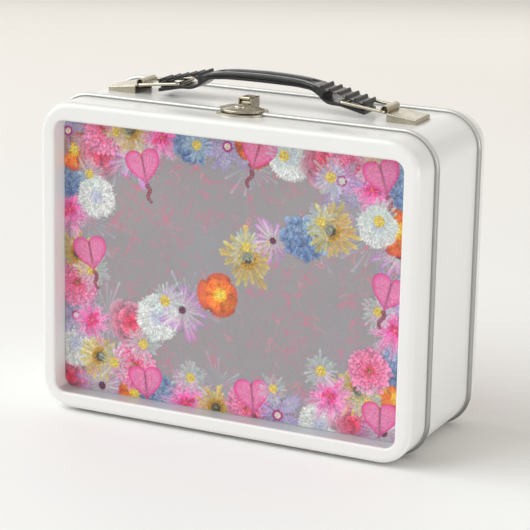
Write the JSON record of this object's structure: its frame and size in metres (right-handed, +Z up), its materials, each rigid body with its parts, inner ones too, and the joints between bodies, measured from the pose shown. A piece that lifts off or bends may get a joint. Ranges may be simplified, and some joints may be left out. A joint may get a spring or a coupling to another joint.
{
  "type": "lunch box",
  "caption": "Hinged sheet-metal lunch box with round corners, recessed printed faces, rolled bare rims, a thumb latch and an arched carrying handle on wire links.",
  "frame": {"origin": "on the standing plane, midway between the sides and between the front and rear faces", "axes": "+X to the box's right seen from the front, +Y from the opening front face to the rear, +Z up towards the handle"},
  "size_m": [0.2186, 0.092, 0.1859],
  "materials": {
    "white_enamel": "gloss white enamel",
    "floral_print": "printed metal, floral on grey",
    "bare_rim": "bare rolled tinplate",
    "nickel_plate": "nickel plate",
    "black_plastic": "satin black"
  },
  "bodies": {
    "case": {"body_band": "white_enamel", "rear_shell": "white_enamel", "front_rim_bead": "bare_rim", "front_rim_bead_foot": "bare_rim", "rear_rim_bead": "bare_rim", "rear_print_panel": "floral_print", "latch_base_plate": "nickel_plate", "latch_housing": "nickel_plate", "latch_pin": "nickel_plate", "left_handle_bracket": "nickel_plate", "left_hinge_case_leaf": "nickel_plate", "left_hinge_pin": "nickel_plate", "right_handle_bracket": "nickel_plate", "right_hinge_case_leaf": "nickel_plate", "right_hinge_pin": "nickel_plate", "hinge_case_rivet_1": "nickel_plate", "hinge_case_rivet_2": "nickel_plate", "hinge_case_rivet_3": "nickel_plate", "hinge_case_rivet_4": "nickel_plate", "latch_plate_rivet_1": "nickel_plate", "latch_plate_rivet_2": "nickel_plate"},
    "lid": {"front_lid": "white_enamel", "front_print_panel": "floral_print", "latch_strike": "nickel_plate", "left_hinge_lid_leaf": "nickel_plate", "right_hinge_lid_leaf": "nickel_plate", "hinge_lid_rivet_1": "nickel_plate", "hinge_lid_rivet_2": "nickel_plate", "hinge_lid_rivet_3": "nickel_plate", "hinge_lid_rivet_4": "nickel_plate", "latch_strike_rivet_1": "nickel_plate", "latch_strike_rivet_2": "nickel_plate"},
    "latch_lever": {"latch_lever": "nickel_plate"},
    "handle": {"handle_grip": "black_plastic"},
    "left_link": {"left_handle_link": "nickel_plate"},
    "right_link": {"right_handle_link": "nickel_plate"}
  },
  "joints": [
    {"name": "lid_hinge", "type": "hinge", "parent": "case", "child": "lid", "pos_m": [0, -0.0262, 0.0017], "axis": [1, 0, 0], "range_deg": [0, 95]},
    {"name": "latch_lever_hinge", "type": "hinge", "parent": "case", "child": "latch_lever", "pos_m": [0, -0.0182, 0.1736], "axis": [-1, 0, 0], "range_deg": [0, 60]},
    {"name": "handle_lift", "type": "slide", "parent": "case", "child": "handle", "axis": [0, 0, 1], "range_m": [0, 0.016]},
    {"name": "left_link_hinge", "type": "hinge", "parent": "case", "child": "left_link", "pos_m": [-0.0705, 0.003, 0.174], "axis": [0, -1, 0], "range_deg": [0, 43]},
    {"name": "right_link_hinge", "type": "hinge", "parent": "case", "child": "right_link", "pos_m": [0.0705, 0.003, 0.174], "axis": [0, 1, 0], "range_deg": [0, 43]}
  ],
  "couplings": [
    {"joint": "left_link_hinge", "follows": "handle_lift", "rad_per_m": 43.5},
    {"joint": "right_link_hinge", "follows": "handle_lift", "rad_per_m": 43.5}
  ]
}
